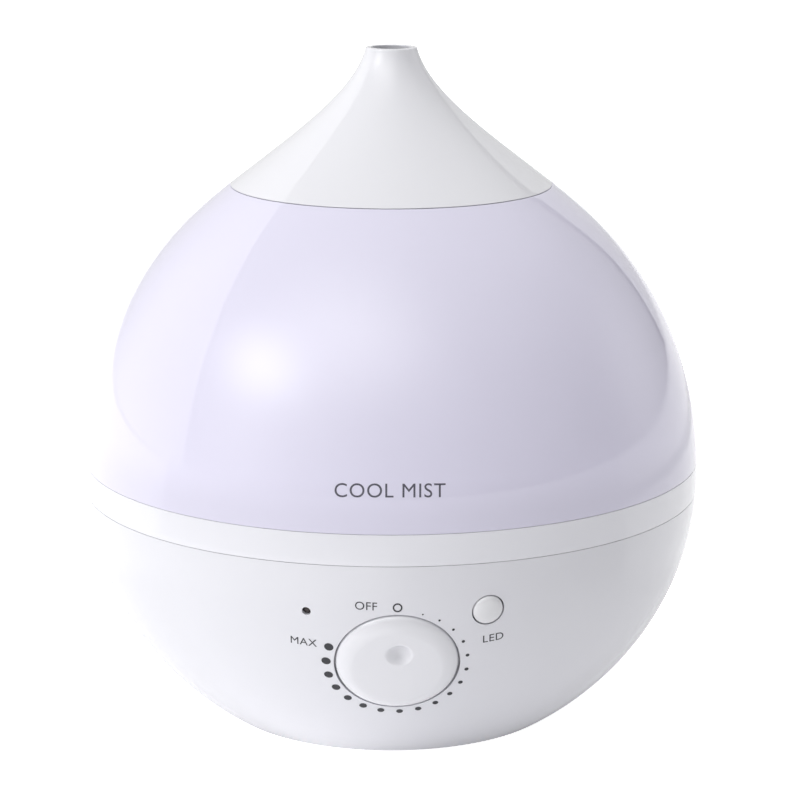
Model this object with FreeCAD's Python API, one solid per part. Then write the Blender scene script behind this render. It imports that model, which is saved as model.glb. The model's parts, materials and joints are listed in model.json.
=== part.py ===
import FreeCAD, Part
import math
import os

os.makedirs("parts", exist_ok=True)

V = FreeCAD.Vector

# Outer skin, millimetres. Z is up, the front faces -Y and z = 0 is the resting surface.
R_MAX = 110.3
Z_EQUATOR = 88.0
HEIGHT_BELOW = 104.0
HEIGHT_ABOVE = 120.5
Z_CONE = 180.0
Z_TOP = 240.0
R_TIP = 9.0
TIP_SLOPE = -0.24

# Levels where the outer pieces meet
BOWL_BOTTOM = 2.0
BOWL_TOP = 82.9
BAND_BOTTOM = 83.3
BAND_TOP = 93.6
TANK_BOTTOM = 94.3
TANK_TOP = 191.6
CAP_BOTTOM = 192.2
WALL = 2.5
CAP_WALL = 2.0
BAND_WALL = 3.0

# Tank
SEAT_Z = 96.0
FLOOR_THICKNESS = 2.5
CHIMNEY_R = 19.0
CHIMNEY_BORE_R = 17.0
TANK_DECK_Z = 185.0
DECK_THICKNESS = 2.5
SKIRT_R = 28.0
SKIRT_BOTTOM = 87.0

# Filler and valve, off to the left front
FILL_X = -38.0
FILL_Y = -38.0
NECK_R = 20.0
NECK_BORE_R = 17.0
NECK_BOTTOM = 84.0
FILL_CAP_R = 24.0
FILL_CAP_BOTTOM = 79.0
VALVE_SEAT_R = 5.0
STEM_R = 2.0
STEM_BOTTOM = 72.5

# Basin
TROUGH_R = 80.0
TROUGH_WALL = 2.2
TROUGH_BOTTOM = 58.0
TROUGH_FLOOR = 60.2
DECK_Z = 88.0
DECK_TOP = 90.2
CHAMBER_R = 24.0
CHAMBER_WALL = 2.0
COLUMN_R = 4.5
COLUMN_BOTTOM = 16.0
FLOAT_X = 38.0
FLOAT_Y = -38.0
AIR_Y = 43.0
AIR_R = 14.0
AIR_BORE_R = 12.2
RING_SEAT_R = 106.8
WINDOW_Y = -90.5
WINDOW_R = 5.4

# Underside
PLATE_BOTTOM = 2.4
PLATE_TOP = 4.9
PLATE_R = 56.5
FASTENER_R = 48.0
FOOT_RING_R = 46.5
FOOT_R = 8.0

# Fan
FAN_Y = 20.0
FAN_SIZE = 50.0
FAN_BOTTOM = 8.0
FAN_TOP = 23.0
ROTOR_TIP_R = 22.8

# Controls, each on the wall's own normal
KNOB_Z = 46.0
KNOB_R = 20.4
KNOB_FACE_R = 14.6
KNOB_SHOULDER = 3.8
DIMPLE_OFFSET = 6.3
SEAT_R = 21.0
SEAT_DEPTH = 4.7
SIDE_AZIMUTH = 16.1
BUTTON_Z = 66.1
BUTTON_R = 5.0
BUTTON_HOLE_R = 5.6
INDICATOR_R = 1.5
INLET_Z = 30.0


def disc(radius, z0, z1, x=0.0, y=0.0):
    """Upright cylinder between two heights."""
    return Part.makeCylinder(radius, z1 - z0, V(x, y, z0))


def tube(r_out, r_in, z0, z1, x=0.0, y=0.0):
    """Upright tube between two heights."""
    return disc(r_out, z0, z1, x, y).cut(disc(r_in, z0 - 1.0, z1 + 1.0, x, y))


def block(x0, x1, y0, y1, z0, z1):
    """Box between two corners."""
    return Part.makeBox(x1 - x0, y1 - y0, z1 - z0, V(x0, y0, z0))


def spin(points):
    """Solid of revolution of a closed (radius, height) outline."""
    corners = [V(r, 0, z) for r, z in points]
    outline = Part.makePolygon(corners + corners[:1])
    return Part.Face(outline).revolve(V(0, 0, 0), V(0, 0, 1), 360)


def around(radius, angles):
    """Points on a circle about the main axis, angles in degrees from +X."""
    return [(radius * math.cos(math.radians(a)), radius * math.sin(math.radians(a))) for a in angles]


def join(first, *others):
    """Fuse shapes and merge split faces."""
    return first.multiFuse(list(others)).removeSplitter()


def carve(first, *others):
    """Cut several shapes from one."""
    for other in others:
        first = first.cut(other)
    return first


def save(name, shape):
    """Write one node."""
    shape.exportStep("parts/" + name + ".step")


def outer_radius(z):
    """Radius of the drop-shaped skin: two half ellipses and a concave cone."""
    if z > Z_CONE:
        start = R_MAX * math.sqrt(1 - ((Z_CONE - Z_EQUATOR) / HEIGHT_ABOVE) ** 2)
        slope = -((R_MAX / HEIGHT_ABOVE) ** 2) * (Z_CONE - Z_EQUATOR) / start
        span = Z_TOP - Z_CONE
        t = (z - Z_CONE) / span
        return (
            (2 * t ** 3 - 3 * t ** 2 + 1) * start
            + (t ** 3 - 2 * t ** 2 + t) * span * slope
            + (3 * t ** 2 - 2 * t ** 3) * R_TIP
            + (t ** 3 - t ** 2) * span * TIP_SLOPE
        )
    half = HEIGHT_ABOVE if z > Z_EQUATOR else HEIGHT_BELOW
    return R_MAX * math.sqrt(1 - ((z - Z_EQUATOR) / half) ** 2)


def skin_slope(z):
    """How fast the skin's radius grows with height."""
    return (outer_radius(z + 0.05) - outer_radius(z - 0.05)) / 0.1


def skin_radius(z, inset):
    """Radius of a surface set in from the skin, measured square to it."""
    return outer_radius(z) - inset * math.hypot(1.0, skin_slope(z))


def skin_curve(z0, z1, inset):
    """Smooth half profile of the skin between two heights."""
    count = max(5, int((z1 - z0) / 5))
    heights = [z0 + (z1 - z0) * i / count for i in range(count + 1)]
    curve = Part.BSplineCurve()
    curve.interpolate([V(skin_radius(z, inset), 0, z) for z in heights])
    return curve.toShape()


def shell(z0, z1, wall):
    """Slice of the drop-shaped skin with a wall thickness."""
    bottom = Part.makeLine(V(skin_radius(z0, 0), 0, z0), V(skin_radius(z0, wall), 0, z0))
    top = Part.makeLine(V(skin_radius(z1, 0), 0, z1), V(skin_radius(z1, wall), 0, z1))
    outline = Part.Wire(Part.__sortEdges__([skin_curve(z0, z1, 0), top, skin_curve(z0, z1, wall), bottom]))
    return Part.Face(outline).revolve(V(0, 0, 0), V(0, 0, 1), 360)


def drop_core(z0, z1, inset):
    """Solid that fills the skin between two heights."""
    low = V(0, 0, z0)
    high = V(0, 0, z1)
    bottom = Part.makeLine(low, V(skin_radius(z0, inset), 0, z0))
    top = Part.makeLine(high, V(skin_radius(z1, inset), 0, z1))
    outline = Part.Wire([bottom, skin_curve(z0, z1, inset), top, Part.makeLine(high, low)])
    return Part.Face(outline).revolve(V(0, 0, 0), V(0, 0, 1), 360)


def wall_placement(z, azimuth):
    """Frame on the skin: local Z straight out, local Y up the wall. Azimuth runs from -Y to +X."""
    a = math.radians(azimuth)
    level = V(math.sin(a), -math.cos(a), 0)
    slope = skin_slope(z)
    out = level - V(0, 0, slope)
    rise = level * slope + V(0, 0, 1)
    out.normalize()
    rise.normalize()
    origin = level * outer_radius(z) + V(0, 0, z)
    return FreeCAD.Placement(origin, FreeCAD.Rotation(rise.cross(out), rise, out, "ZYX"))


def placed(shape, frame):
    """Copy of a shape moved into a frame."""
    copy = shape.copy()
    copy.Placement = frame.multiply(copy.Placement)
    return copy


KNOB_FRAME = wall_placement(KNOB_Z, 0.0)
BUTTON_FRAME = wall_placement(BUTTON_Z, SIDE_AZIMUTH)
INDICATOR_FRAME = wall_placement(BUTTON_Z, -SIDE_AZIMUTH)
COLUMNS = around(FASTENER_R, [45, 135, 225, 315])
FEET = around(FOOT_RING_R, [0, 90, 180, 270])
FAN_CORNERS = [(x, FAN_Y + y) for x in (-20, 20) for y in (-20, 20)]
BOARD_CORNERS = [(x, y) for x in (-22, 22) for y in (-36, -14)]


def nozzle_cap():
    """Cone with the mist outlet, a bevelled lower edge and a skirt that drops into the tank."""
    cone = shell(CAP_BOTTOM, Z_TOP, CAP_WALL)
    skirt = tube(53.0, 51.2, 187.6, 194.6)
    ledge = tube(54.6, 51.2, 193.0, 194.6)
    return join(cone, skirt, ledge)


def mist_funnel():
    """Funnel under the cap that leads mist from the chimney to the outlet."""
    outline = [
        (19.6, 190.0), (22.2, 190.0), (20.6, 196.0), (12.6, 212.0), (8.9, 224.0),
        (6.4, 236.0), (5.4, 236.0), (7.7, 224.0), (11.2, 212.0), (19.2, 195.6),
    ]
    funnel = spin(outline)
    arms = [block(11.0, 26.5, -1.0, 1.0, 206.5, 208.0) for _ in range(3)]
    for index, arm in enumerate(arms):
        arm.rotate(V(0, 0, 0), V(0, 0, 1), 120 * index)
    core = spin([(0.1, 200), (15.5, 200), (11.9, 213), (0.1, 213)])
    return join(funnel, *[arm.cut(core) for arm in arms])


def tank_body():
    """Tank shell with its upper deck and mist chimney."""
    walls = shell(TANK_BOTTOM, TANK_TOP, WALL)
    deck_top = TANK_DECK_Z + DECK_THICKNESS
    deck = tube(skin_radius(TANK_DECK_Z, 1.0), CHIMNEY_BORE_R, TANK_DECK_Z, deck_top)
    deck = deck.common(disc(skin_radius(deck_top, 1.0), 180, 190))
    chimney = tube(CHIMNEY_R, CHIMNEY_BORE_R, SEAT_Z + FLOOR_THICKNESS, TANK_DECK_Z + 4.0)
    return join(walls, deck, chimney)


def tank_floor():
    """Floor plate with the filler neck and the skirt around the mist chamber."""
    plate = tube(skin_radius(97.0, WALL) - 0.6, CHIMNEY_BORE_R, SEAT_Z, SEAT_Z + FLOOR_THICKNESS)
    skirt = tube(SKIRT_R, SKIRT_R - 2.0, SKIRT_BOTTOM, SEAT_Z + 1.0)
    neck = disc(NECK_R, NECK_BOTTOM, SEAT_Z + 1.0, FILL_X, FILL_Y)
    bore = disc(NECK_BORE_R, NECK_BOTTOM - 1, SEAT_Z + 5.0, FILL_X, FILL_Y)
    return join(plate, skirt, neck).cut(bore)


def fill_cap():
    """Filler cap with finger ribs and the valve seat."""
    cup = disc(FILL_CAP_R, FILL_CAP_BOTTOM, SEAT_Z - 0.8, FILL_X, FILL_Y)
    hollow = disc(NECK_R + 0.4, FILL_CAP_BOTTOM + 3.0, SEAT_Z + 1.0, FILL_X, FILL_Y)
    seat = disc(VALVE_SEAT_R, FILL_CAP_BOTTOM - 1, FILL_CAP_BOTTOM + 4, FILL_X, FILL_Y)
    ribs = []
    for x, y in around(FILL_CAP_R - 0.2, range(0, 360, 20)):
        ribs.append(disc(0.9, FILL_CAP_BOTTOM + 1.5, SEAT_Z - 2.5, FILL_X + x, FILL_Y + y))
    guide = tube(3.4, STEM_R + 0.05, FILL_CAP_BOTTOM, FILL_CAP_BOTTOM + 2.4, FILL_X, FILL_Y)
    spokes = [block(-5.5, 5.5, -0.6, 0.6, FILL_CAP_BOTTOM, FILL_CAP_BOTTOM + 1.6)]
    spokes.append(block(-0.6, 0.6, -5.5, 5.5, FILL_CAP_BOTTOM, FILL_CAP_BOTTOM + 1.6))
    for spoke in spokes:
        spoke.translate(V(FILL_X, FILL_Y, 0))
    bore = disc(STEM_R + 0.05, FILL_CAP_BOTTOM - 1, FILL_CAP_BOTTOM + 4, FILL_X, FILL_Y)
    return join(carve(cup, hollow, seat), guide, *ribs, *spokes).cut(bore)


def valve_stem():
    """Valve rod with its spring foot and the collar under the disc."""
    rod = disc(STEM_R, STEM_BOTTOM, 92.0, FILL_X, FILL_Y)
    foot = disc(4.4, STEM_BOTTOM, STEM_BOTTOM + 1.2, FILL_X, FILL_Y)
    collar = disc(4.0, 84.2, 85.4, FILL_X, FILL_Y)
    return join(rod, foot, collar)


def valve_spring():
    """Closing spring under the filler cap."""
    bottom = STEM_BOTTOM + 1.5
    coil = Part.makeHelix(1.2, FILL_CAP_BOTTOM - 0.4 - bottom, 3.3)
    corners = [V(3.3 + x, 0, z) for x, z in around(0.35, range(0, 360, 45))]
    section = Part.makePolygon(corners + corners[:1])
    spring = Part.Wire(coil).makePipeShell([section], True, True)
    spring.translate(V(FILL_X, FILL_Y, bottom))
    return spring


def base_ring():
    """White band under the tank, with a flange that snaps over the basin deck."""
    band = shell(BAND_BOTTOM, BAND_TOP, BAND_WALL)
    flange = tube(108.4, 102.5, DECK_TOP, DECK_TOP + 1.8)
    return join(band, flange)


def basin_deck():
    """Flat deck round the trough with the tank seat and the rim that locates it in the bowl."""
    deck = tube(RING_SEAT_R, TROUGH_R, DECK_Z, DECK_TOP)
    locator = tube(106.6, 104.6, 77.0, DECK_Z + 1)
    seat = tube(101.0, 98.5, DECK_TOP - 1, SEAT_Z)
    window = disc(WINDOW_R + 0.1, DECK_Z - 1, DECK_TOP + 1, 0, WINDOW_Y)
    return join(deck, locator, seat).cut(window)


def basin():
    """Water trough with its fixing columns, float post, valve pin and mist maker pocket."""
    wall = tube(TROUGH_R + TROUGH_WALL, TROUGH_R, TROUGH_BOTTOM, DECK_Z)
    floor = disc(TROUGH_R + 1.0, TROUGH_BOTTOM, TROUGH_FLOOR)
    air_hole = disc(AIR_BORE_R, TROUGH_BOTTOM - 1, 62.0, 0, AIR_Y)
    post = disc(4.2, TROUGH_FLOOR - 1, 84.0, FLOAT_X, FLOAT_Y)
    post_bore = disc(2.7, TROUGH_BOTTOM - 1, 80.0, FLOAT_X, FLOAT_Y)
    groove = tube(5.0, 3.4, 81.8, 82.8, FLOAT_X, FLOAT_Y)
    pin = disc(3.0, TROUGH_FLOOR - 1, STEM_BOTTOM - 0.3, FILL_X, FILL_Y)
    boss = disc(20.0, 53.0, TROUGH_FLOOR - 1)
    pocket = disc(14.1, 52.0, 58.6)
    outlet = disc(9.5, 57.0, 61.0)
    columns = [disc(COLUMN_R, COLUMN_BOTTOM, TROUGH_FLOOR - 1, x, y) for x, y in COLUMNS]
    pilots = [disc(1.25, COLUMN_BOTTOM - 1, 30.0, x, y) for x, y in COLUMNS]
    sockets = [disc(1.15, 52.0, 57.6, x, y) for x, y in around(17.0, [30, 150, 270])]
    body = join(wall, floor, post, pin, boss, *columns)
    return carve(body, air_hole, post_bore, groove, pocket, outlet, *pilots, *sockets)


def mist_chamber():
    """Low wall round the mist maker, slotted at the foot to let water in."""
    wall = tube(CHAMBER_R, CHAMBER_R - CHAMBER_WALL, TROUGH_FLOOR, 92.0)
    slots = [block(-4, 4, -30, 30, TROUGH_FLOOR, 67.0), block(-30, 30, -4, 4, TROUGH_FLOOR, 67.0)]
    return carve(wall, *slots)


def base_bowl():
    """Bowl with the dial seat, control holes, inlet pocket and screw bosses."""
    body = shell(BOWL_BOTTOM, BOWL_TOP, WALL)
    core = drop_core(BOWL_BOTTOM + 1.0, BOWL_TOP - 2.0, 1.0)
    dial_cup = placed(disc(SEAT_R + 2.0, -SEAT_DEPTH - 2.0, 0.0), KNOB_FRAME).common(core)
    dial_pocket = placed(disc(SEAT_R, -SEAT_DEPTH, 10.0), KNOB_FRAME)
    shaft_hole = placed(disc(3.6, -12.0, 0.0), KNOB_FRAME)
    button_sleeve = placed(disc(BUTTON_HOLE_R + 1.2, -8.0, -1.0), BUTTON_FRAME)
    button_hole = placed(disc(BUTTON_HOLE_R, -12.0, 5.0), BUTTON_FRAME)
    indicator_hole = placed(disc(INDICATOR_R, -8.0, 5.0), INDICATOR_FRAME)
    inlet_cup = Part.makeCylinder(10.0, 20.0, V(0, 76.0, INLET_Z), V(0, 1, 0)).common(core)
    inlet_pocket = Part.makeCylinder(8.0, 30.0, V(0, 78.0, INLET_Z), V(0, 1, 0))
    inlet_hole = Part.makeCylinder(4.6, 30.0, V(0, 70.0, INLET_Z), V(0, 1, 0))
    bosses = []
    holes = []
    for (x, y), angle in zip(COLUMNS, [45, 135, 225, 315]):
        bosses.append(disc(COLUMN_R, PLATE_TOP + 0.3, COLUMN_BOTTOM, x, y))
        rib = block(FASTENER_R + 3.0, 80.0, -1.0, 1.0, PLATE_TOP + 2.0, COLUMN_BOTTOM)
        rib.rotate(V(0, 0, 0), V(0, 0, 1), angle)
        bosses.append(rib.common(core))
        holes.append(disc(1.8, 0, 20, x, y))
    body = join(body, dial_cup, button_sleeve, inlet_cup, *bosses)
    body = carve(body, dial_pocket, shaft_hole, button_hole, indicator_hole)
    return carve(body, inlet_pocket, inlet_hole, *holes)


def base_plate():
    """Underside plate with the air intake, foot pockets and counterbored screw holes."""
    plate = disc(PLATE_R, PLATE_BOTTOM, PLATE_TOP)
    guide = tube(22.0, 20.5, PLATE_TOP - 1.0, FAN_BOTTOM, 0, FAN_Y)
    fixings = [disc(3.2, PLATE_TOP - 1, FAN_BOTTOM, x, y) for x, y in FAN_CORNERS]
    pilots = [disc(1.55, PLATE_TOP, FAN_BOTTOM + 1, x, y) for x, y in FAN_CORNERS]
    standoffs = [disc(2.6, PLATE_TOP - 1, 12.0, x, y) for x, y in BOARD_CORNERS]
    body = join(plate, guide, *fixings, *standoffs)
    slots = []
    for step in range(-3, 4):
        half = math.sqrt(17.0 ** 2 - (step * 4.8) ** 2)
        slots.append(block(step * 4.8 - 1.3, step * 4.8 + 1.3, FAN_Y - half, FAN_Y + half, 0, 9))
    feet = [disc(FOOT_R + 0.2, 0, PLATE_BOTTOM + 1.4, x, y) for x, y in FEET]
    screws = []
    for x, y in COLUMNS:
        screws.append(disc(1.8, 0, 9, x, y))
        screws.append(disc(3.2, 0, PLATE_BOTTOM + 1.0, x, y))
    return carve(body, *slots, *feet, *screws, *pilots)


def screw(radius, head_r, head_h, length):
    """Pan-head screw pointing up from z = 0, with a cross slot in the head."""
    head = disc(head_r, 0, head_h)
    cross = [
        block(-head_r * 0.6, head_r * 0.6, -0.25, 0.25, -1, head_h * 0.5),
        block(-0.25, 0.25, -head_r * 0.6, head_r * 0.6, -1, head_h * 0.5),
    ]
    return join(carve(head, *cross), disc(radius, head_h - 0.1, length))


def screw_set(places, radius, head_r, head_h, length, z):
    """Identical screws as one node."""
    pieces = []
    for x, y in places:
        piece = screw(radius, head_r, head_h, length)
        piece.translate(V(x, y, z))
        pieces.append(piece)
    return Part.makeCompound(pieces)


def rubber_feet():
    """Four feet, rounded at the lower edge."""
    pieces = []
    for x, y in FEET:
        foot = disc(FOOT_R, 0, PLATE_BOTTOM + 1.4, x, y)
        low = [edge for edge in foot.Edges if edge.BoundBox.ZMax < 0.1]
        pieces.append(foot.makeFillet(0.8, low))
    return Part.makeCompound(pieces)


def transducer_seal():
    """Rubber ring that grips the disc."""
    ring = tube(14.0, 9.0, 54.6, 58.6)
    return ring.cut(disc(10.2, 56.0, 57.4))


def transducer_holder():
    """Clamp under the mist maker."""
    flange = disc(20.0, 50.8, 52.9)
    press = disc(13.6, 52.0, 54.5)
    holes = [disc(1.4, 50, 54, x, y) for x, y in around(17.0, [30, 150, 270])]
    return carve(join(flange, press), disc(8.0, 50, 56), *holes)


def float_body():
    """Float ring with its magnet pocket."""
    ring = tube(14.0, 4.8, 61.0, 72.0, FLOAT_X, FLOAT_Y)
    rims = [edge for edge in ring.Edges if edge.BoundBox.XLength > 27 and edge.BoundBox.ZLength < 0.01]
    ring = ring.makeFillet(1.5, rims)
    return ring.cut(tube(9.0, 6.0, 60.0, 64.0, FLOAT_X, FLOAT_Y))


def float_clip():
    """Clip that keeps the float on its post."""
    ring = tube(6.6, 3.5, 81.9, 82.7, FLOAT_X, FLOAT_Y)
    return ring.cut(block(FLOAT_X - 1.2, FLOAT_X + 1.2, FLOAT_Y, FLOAT_Y + 8, 81, 84))


def fan_frame():
    """Square fan body with a motor cup on four struts."""
    low = FAN_Y - FAN_SIZE / 2
    high = FAN_Y + FAN_SIZE / 2
    body = block(-FAN_SIZE / 2, FAN_SIZE / 2, low, high, FAN_BOTTOM, FAN_TOP)
    body = body.cut(disc(ROTOR_TIP_R + 0.9, FAN_BOTTOM - 1, FAN_TOP + 1, 0, FAN_Y))
    cup = disc(10.0, FAN_BOTTOM, FAN_BOTTOM + 1.5, 0, FAN_Y)
    stator = disc(5.5, FAN_BOTTOM + 1.0, FAN_BOTTOM + 8.0, 0, FAN_Y)
    struts = [
        block(-24, 24, FAN_Y - 1.2, FAN_Y + 1.2, FAN_BOTTOM, FAN_BOTTOM + 1.5),
        block(-1.2, 1.2, FAN_Y - 24, FAN_Y + 24, FAN_BOTTOM, FAN_BOTTOM + 1.5),
    ]
    holes = [disc(1.8, FAN_BOTTOM - 1, FAN_TOP + 1, x, y) for x, y in FAN_CORNERS]
    bearing = disc(1.6, FAN_BOTTOM + 1.5, FAN_TOP, 0, FAN_Y)
    return carve(join(body, cup, stator, *struts), bearing, *holes)


def fan_rotor():
    """Hub, shaft and seven twisted blades."""
    hub = disc(10.0, FAN_BOTTOM + 2.2, FAN_TOP - 1.0, 0, 0)
    hub = hub.cut(disc(7.0, FAN_BOTTOM, FAN_TOP - 2.6, 0, 0))
    shaft = disc(1.55, FAN_BOTTOM + 1.7, FAN_TOP - 2.0, 0, 0)
    blades = []
    for index in range(7):
        blade = block(9.0, ROTOR_TIP_R, -0.6, 0.6, -7.0, 7.0)
        blade.rotate(V(0, 0, 0), V(1, 0, 0), 48)
        blade.translate(V(0, 0, 16.0))
        blade.rotate(V(0, 0, 0), V(0, 0, 1), index * 360 / 7)
        blades.append(blade)
    sweep = tube(ROTOR_TIP_R, 9.0, FAN_BOTTOM + 2.6, FAN_TOP - 1.4)
    rotor = join(hub, shaft, *[blade.common(sweep) for blade in blades])
    rotor.translate(V(0, FAN_Y, 0))
    return rotor


def fan_duct():
    """Duct from the fan to the basin's air tube."""
    def circle(radius, y, z):
        return Part.Wire(Part.makeCircle(radius, V(0, y, z), V(0, 0, 1)))

    def funnel(extra):
        wires = [circle(22.8 + extra, FAN_Y, 26.0), circle(AIR_BORE_R - 1.0 + extra, AIR_Y, 57.0)]
        return Part.makeLoft(wires, True, True)

    outside = join(
        block(-FAN_SIZE / 2, FAN_SIZE / 2, FAN_Y - 25, FAN_Y + 25, FAN_TOP, 24.6),
        disc(24.4, FAN_TOP, 26.1, 0, FAN_Y),
        funnel(1.6),
    )
    inside = [disc(22.8, FAN_TOP - 1, 26.0, 0, FAN_Y), funnel(0.0)]
    holes = [disc(1.8, FAN_TOP - 1, 26.5, x, y) for x, y in FAN_CORNERS]
    lip = tube(AIR_BORE_R - 0.2, AIR_BORE_R - 1.6, 56.0, 62.0, 0, AIR_Y)
    return join(carve(outside, *inside, *holes), lip).cut(funnel(-0.4))


def driver_board():
    """Circuit board on four standoffs."""
    board = block(-27, 27, -41, -9, 12.0, 13.6)
    holes = [disc(1.3, 11, 15, x, y) for x, y in BOARD_CORNERS]
    connector = block(-6, 6, -40, -34, 13.6, 20.0).cut(block(-5, 5, -38.5, -35.5, 15.0, 21.0))
    return join(carve(board, *holes), connector)


def driver_heatsink():
    """Finned aluminium block on the power transistor."""
    body = block(-18, -4, -31, -13, 13.6, 16.0)
    fins = [block(-18 + 3 * i, -16.8 + 3 * i, -31, -13, 15.0, 34.0) for i in range(5)]
    return join(body, *fins)


def driver_coil():
    """Wound coil on a core."""
    core = disc(6.0, 13.6, 15.0, 10, -20)
    winding = tube(5.2, 1.5, 15.0, 22.0, 10, -20)
    cap = tube(6.0, 1.5, 22.0, 23.4, 10, -20)
    return join(core, winding, cap)


def driver_capacitors():
    """Two upright capacitors."""
    pieces = []
    for x, y, radius, top in [(2.0, -29.0, 4.0, 28.0), (16.0, -31.0, 3.2, 24.0)]:
        can = disc(radius, 13.6, top, x, y)
        pieces.append(can.cut(tube(radius + 1, radius - 0.3, 15.0, 15.8, x, y)))
    return Part.makeCompound(pieces)


def dial_pot():
    """Rotary control with its threaded bush, behind the dial seat."""
    can = disc(8.5, -16.0, -SEAT_DEPTH - 2.0)
    bush = disc(3.5, -8.0, -SEAT_DEPTH + 1.6)
    tabs = block(-5.5, 5.5, -12.5, -8.0, -14.5, -13.5)
    bore = disc(2.65, -15.0, 0.0)
    return placed(carve(join(can, bush, tabs), bore), KNOB_FRAME)


def pot_shaft():
    """Shaft that the knob is pressed on."""
    rod = disc(2.6, -14.0, -1.1)
    flat = block(1.6, 4.0, -4, 4, -2.5, 1.0)
    return placed(rod.cut(flat), KNOB_FRAME)


def pot_nut():
    """Hexagon nut on the bush, inside the dial seat."""
    corners = [V(x, y, -SEAT_DEPTH) for x, y in around(5.2, range(0, 360, 60))]
    prism = Part.Face(Part.makePolygon(corners + corners[:1])).extrude(V(0, 0, 1.3))
    return placed(prism.cut(disc(3.55, -10, 0)), KNOB_FRAME)


def control_knob():
    """Low round knob: soft shoulder, slightly domed face, finger dimple towards OFF."""
    shoulder_z = -2.6
    face_z = shoulder_z + KNOB_SHOULDER
    arc = []
    for step in range(10, -1, -1):
        u = step / 10
        radius = KNOB_FACE_R + (KNOB_R - KNOB_FACE_R) * u
        arc.append(V(radius, 0, shoulder_z + KNOB_SHOULDER * (1 - u ** 1.5)))
    shoulder = Part.BSplineCurve()
    shoulder.interpolate(arc)
    apex = V(0, 0, face_z + 0.4)
    face = Part.Arc(arc[-1], V(KNOB_FACE_R / 2, 0, face_z + 0.3), apex)
    outline = [
        Part.makeLine(V(0, 0, -4.2), V(KNOB_R, 0, -4.2)),
        Part.makeLine(V(KNOB_R, 0, -4.2), arc[0]),
        shoulder.toShape(),
        face.toShape(),
        Part.makeLine(apex, V(0, 0, -4.2)),
    ]
    body = Part.Face(Part.Wire(outline)).revolve(V(0, 0, 0), V(0, 0, 1), 360)
    hollow = disc(17.0, -5.0, -1.4).cut(disc(4.6, -5.0, 1.0))
    hub_hole = disc(2.6, -5.0, -1.0).cut(block(1.6, 4.0, -4, 4, -2.5, 1.0))
    nut_room = disc(6.2, -5.0, -2.9)
    dimple = Part.makeSphere(12.2, V(0, DIMPLE_OFFSET, face_z + 11.7))
    return placed(carve(body, hollow, nut_room, hub_hole, dimple), KNOB_FRAME)


def led_button():
    """Domed push button with a retaining collar."""
    cap = disc(BUTTON_R, -7.6, 1.1)
    top = [edge for edge in cap.Edges if edge.BoundBox.ZMin > 1.0]
    cap = cap.makeFillet(0.9, top)
    collar = disc(6.4, -9.05, -8.05)
    stem = disc(2.0, -11.0, -7.0)
    return placed(join(cap, collar, stem, disc(4.4, -8.4, -7.4)), BUTTON_FRAME)


def button_board():
    """Small board that carries the push switch."""
    board = block(-9, 9, -6, 6, -18.0, -16.8)
    return placed(board, BUTTON_FRAME)


def button_switch():
    """Push switch body."""
    body = block(-3, 3, -3, 3, -16.8, -13.4)
    return placed(join(body, disc(1.75, -13.5, -12.3)), BUTTON_FRAME)


def button_buffer():
    """Rubber ring that stops the button at the end of its travel."""
    ring = tube(6.0, 4.8, -16.7, -10.3)
    return placed(ring, BUTTON_FRAME)


def indicator_lens():
    """Domed indicator in its hole."""
    stem = disc(INDICATOR_R - 0.05, -5.0, -0.2)
    dome = Part.makeSphere(INDICATOR_R - 0.05, V(0, 0, -0.6))
    collar = disc(2.0, -5.0, -3.6)
    return placed(join(stem, dome, collar), INDICATOR_FRAME)


def indicator_board():
    """Small board behind the indicator."""
    board = block(-6, 6, -4, 4, -6.4, -5.2)
    return placed(board, INDICATOR_FRAME)


def night_light_board():
    """Board with three light emitters under the deck window."""
    board = block(-14, 14, WINDOW_Y - 4.5, WINDOW_Y + 4.5, 83.4, 84.6)
    lamps = []
    for x in (-4.2, 0.0, 4.2):
        lamps.append(block(x - 1.8, x + 1.8, WINDOW_Y - 1.8, WINDOW_Y + 1.8, 84.6, 86.0))
    return join(board, *lamps)


def night_light_window():
    """Clear window in the basin deck."""
    pane = disc(WINDOW_R, DECK_Z, DECK_TOP, 0, WINDOW_Y)
    return join(pane, disc(WINDOW_R + 1.6, DECK_Z - 1.0, DECK_Z, 0, WINDOW_Y))


def dc_inlet():
    """Round power socket with its centre pin."""
    body = Part.makeCylinder(4.5, 16.0, V(0, 63.5, INLET_Z), V(0, 1, 0))
    flange = Part.makeCylinder(7.0, 1.2, V(0, 74.8, INLET_Z), V(0, 1, 0))
    bore = Part.makeCylinder(2.85, 12.0, V(0, 70.0, INLET_Z), V(0, 1, 0))
    pin = Part.makeCylinder(1.0, 9.0, V(0, 69.5, INLET_Z), V(0, 1, 0))
    return join(join(body, flange).cut(bore), pin)


def fan_screws():
    """Four long screws down through the duct and the fan."""
    pieces = []
    for x, y in FAN_CORNERS:
        piece = screw(1.5, 2.8, 1.6, 20.0)
        piece.rotate(V(0, 0, 0), V(1, 0, 0), 180)
        piece.translate(V(x, y, 26.2))
        pieces.append(piece)
    return Part.makeCompound(pieces)


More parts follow.
